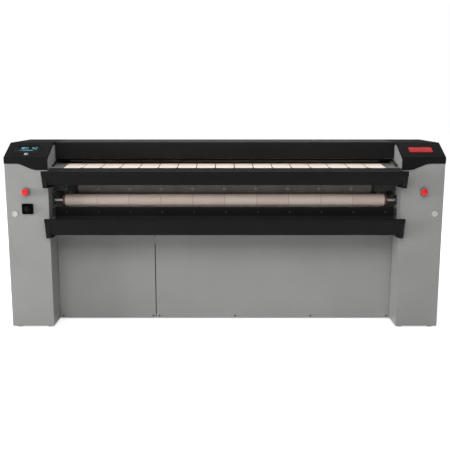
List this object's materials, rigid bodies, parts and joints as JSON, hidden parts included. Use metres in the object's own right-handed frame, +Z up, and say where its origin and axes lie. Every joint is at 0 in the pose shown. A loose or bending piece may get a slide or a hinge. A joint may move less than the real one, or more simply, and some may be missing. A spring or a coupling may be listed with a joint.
{
  "type": "flatwork ironer",
  "caption": "Wide flatwork ironer with heated roll, feed belts under a hood, ironing belts with front return, delivery tray and two control columns.",
  "frame": {"origin": "middle of the footprint, on the floor under the feet", "axes": "+X along the machine to the operator's right, +Y from front to back, +Z up"},
  "size_m": [2.692, 0.79, 1.156],
  "materials": {
    "grey_paint": "smooth satin paint",
    "black_plastic": "fine grained moulded plastic",
    "black_paint": "matte black paint",
    "zinc_sheet": "zinc coated sheet and tube",
    "steel": "brushed",
    "chromed_steel": "bright",
    "roll_steel": "turned",
    "element_sheath": "heat darkened",
    "ironing_felt": "needle felt band",
    "feed_band": "woven band",
    "cast_housing": "painted casting",
    "black_bolts": "blackened",
    "brown_sheet": "dark brown coat",
    "chain_steel": "oiled",
    "motor_paint": "satin paint",
    "fan_aluminium": "plain",
    "cabinet_paint": "textured paint",
    "display_pane": "glossy pane",
    "red_gloss": "gloss",
    "red_sheet": "red lacquer",
    "stop_collar": "satin",
    "switch_black": "matte",
    "white_plastic": "satin"
  },
  "bodies": {
    "machine": {"bar_end_caps": "black_plastic", "bearing_bolts": "black_bolts", "button_ring": "chromed_steel", "cable_gland": "black_plastic", "column_backs": "zinc_sheet", "control_cabinet": "cabinet_paint", "cross_tubes": "zinc_sheet", "delivery_chute": "black_paint", "delivery_tray": "black_paint", "display_bezel": "black_plastic", "display_glass": "display_pane", "drive_chain": "chain_steel", "exhaust_spigot": "zinc_sheet", "fan_housing": "zinc_sheet", "fan_motor": "motor_paint", "feed_bed": "steel", "feed_belts": "feed_band", "feed_motor": "motor_paint", "feed_nose": "black_paint", "frame_bearings": "cast_housing", "gearmotor": "motor_paint", "heater_core": "roll_steel", "heating_elements": "element_sheath", "hole_plugs": "white_plastic", "hood": "black_paint", "ironing_belts": "ironing_felt", "left_column": "grey_paint", "left_front_panel": "grey_paint", "left_side_frame": "zinc_sheet", "left_top_cover": "black_plastic", "levelling_feet": "steel", "panel_screws": "steel", "rear_panel": "zinc_sheet", "red_plate": "red_sheet", "return_bearings": "cast_housing", "right_column": "grey_paint", "right_front_panel": "grey_paint", "right_side_frame": "zinc_sheet", "right_top_cover": "black_plastic", "side_strips": "steel", "stop_collars": "stop_collar", "stripper_blocks": "black_plastic", "stripper_buttons": "chromed_steel", "stripper_plate": "brown_sheet", "switch_plate": "switch_black"},
    "cylinder": {"heated_cylinder": "roll_steel", "cylinder_sprocket": "chain_steel"},
    "nip_roll": {"nip_roller": "steel"},
    "return_roll": {"return_roller": "chromed_steel"},
    "lower_roll": {"lower_rear_roller": "steel"},
    "upper_roll": {"upper_rear_roller": "steel"},
    "drive_pinion": {"motor_sprocket": "chain_steel"},
    "feed_front_roll": {"feed_front_roller": "steel"},
    "feed_rear_roll": {"feed_rear_roller": "steel"},
    "fan": {"fan_wheel": "fan_aluminium"},
    "guard": {"finger_guard": "steel"},
    "left_stop": {"left_stop_head": "red_gloss"},
    "right_stop": {"right_stop_head": "red_gloss"},
    "button": {"start_button": "chromed_steel"},
    "knob": {"switch_knob": "black_plastic"}
  },
  "joints": [
    {"name": "cylinder_turn", "type": "hinge", "parent": "machine", "child": "cylinder", "pos_m": [0, 0.095, 0.895], "axis": [-1, 0, 0], "continuous": true},
    {"name": "nip_turn", "type": "hinge", "parent": "machine", "child": "nip_roll", "pos_m": [0, -0.01387, 1.05048], "axis": [-1, 0, 0], "continuous": true},
    {"name": "return_turn", "type": "hinge", "parent": "machine", "child": "return_roll", "pos_m": [0, -0.193, 0.798], "axis": [-1, 0, 0], "continuous": true},
    {"name": "lower_turn", "type": "hinge", "parent": "machine", "child": "lower_roll", "pos_m": [0, 0.27, 0.69], "axis": [-1, 0, 0], "continuous": true},
    {"name": "upper_turn", "type": "hinge", "parent": "machine", "child": "upper_roll", "pos_m": [0, 0.28, 1.075], "axis": [-1, 0, 0], "continuous": true},
    {"name": "pinion_turn", "type": "hinge", "parent": "machine", "child": "drive_pinion", "pos_m": [0, 0.025, 0.33], "axis": [-1, 0, 0], "continuous": true},
    {"name": "feed_rear_turn", "type": "hinge", "parent": "machine", "child": "feed_rear_roll", "pos_m": [0, -0.07687, 0.99897], "axis": [-1, 0, 0], "continuous": true},
    {"name": "feed_front_turn", "type": "hinge", "parent": "machine", "child": "feed_front_roll", "pos_m": [0, -0.25487, 0.98498], "axis": [-1, 0, 0], "continuous": true},
    {"name": "fan_turn", "type": "hinge", "parent": "machine", "child": "fan", "pos_m": [0, 0.125, 0.42], "axis": [-1, 0, 0], "continuous": true},
    {"name": "guard_lift", "type": "hinge", "parent": "machine", "child": "guard", "pos_m": [0, -0.19487, 1.01497], "axis": [1, 0, 0], "range_deg": [0, 3.5]},
    {"name": "left_stop_push", "type": "slide", "parent": "machine", "child": "left_stop", "axis": [0, 1, 0], "range_m": [0, 0.005], "stiffness_N_per_m": 800, "springref_m": -0.001},
    {"name": "right_stop_push", "type": "slide", "parent": "machine", "child": "right_stop", "axis": [0, 1, 0], "range_m": [0, 0.005], "stiffness_N_per_m": 800, "springref_m": -0.001},
    {"name": "button_push", "type": "slide", "parent": "machine", "child": "button", "axis": [0, 0.461, -0.8874], "range_m": [0, 0.003], "stiffness_N_per_m": 600, "springref_m": -0.002},
    {"name": "switch_turn", "type": "hinge", "parent": "machine", "child": "knob", "pos_m": [-1.212, -0.305, 0.758], "axis": [0, -1, 0], "range_deg": [-90, 0]}
  ],
  "couplings": [
    {"joint": "nip_turn", "follows": "cylinder_turn", "ratio": -7.1373},
    {"joint": "return_turn", "follows": "cylinder_turn", "ratio": -4.4584},
    {"joint": "lower_turn", "follows": "cylinder_turn", "ratio": -7.1373},
    {"joint": "upper_turn", "follows": "cylinder_turn", "ratio": -7.1373},
    {"joint": "pinion_turn", "follows": "cylinder_turn", "ratio": 2.6667},
    {"joint": "feed_front_turn", "follows": "feed_rear_turn", "ratio": 1}
  ]
}
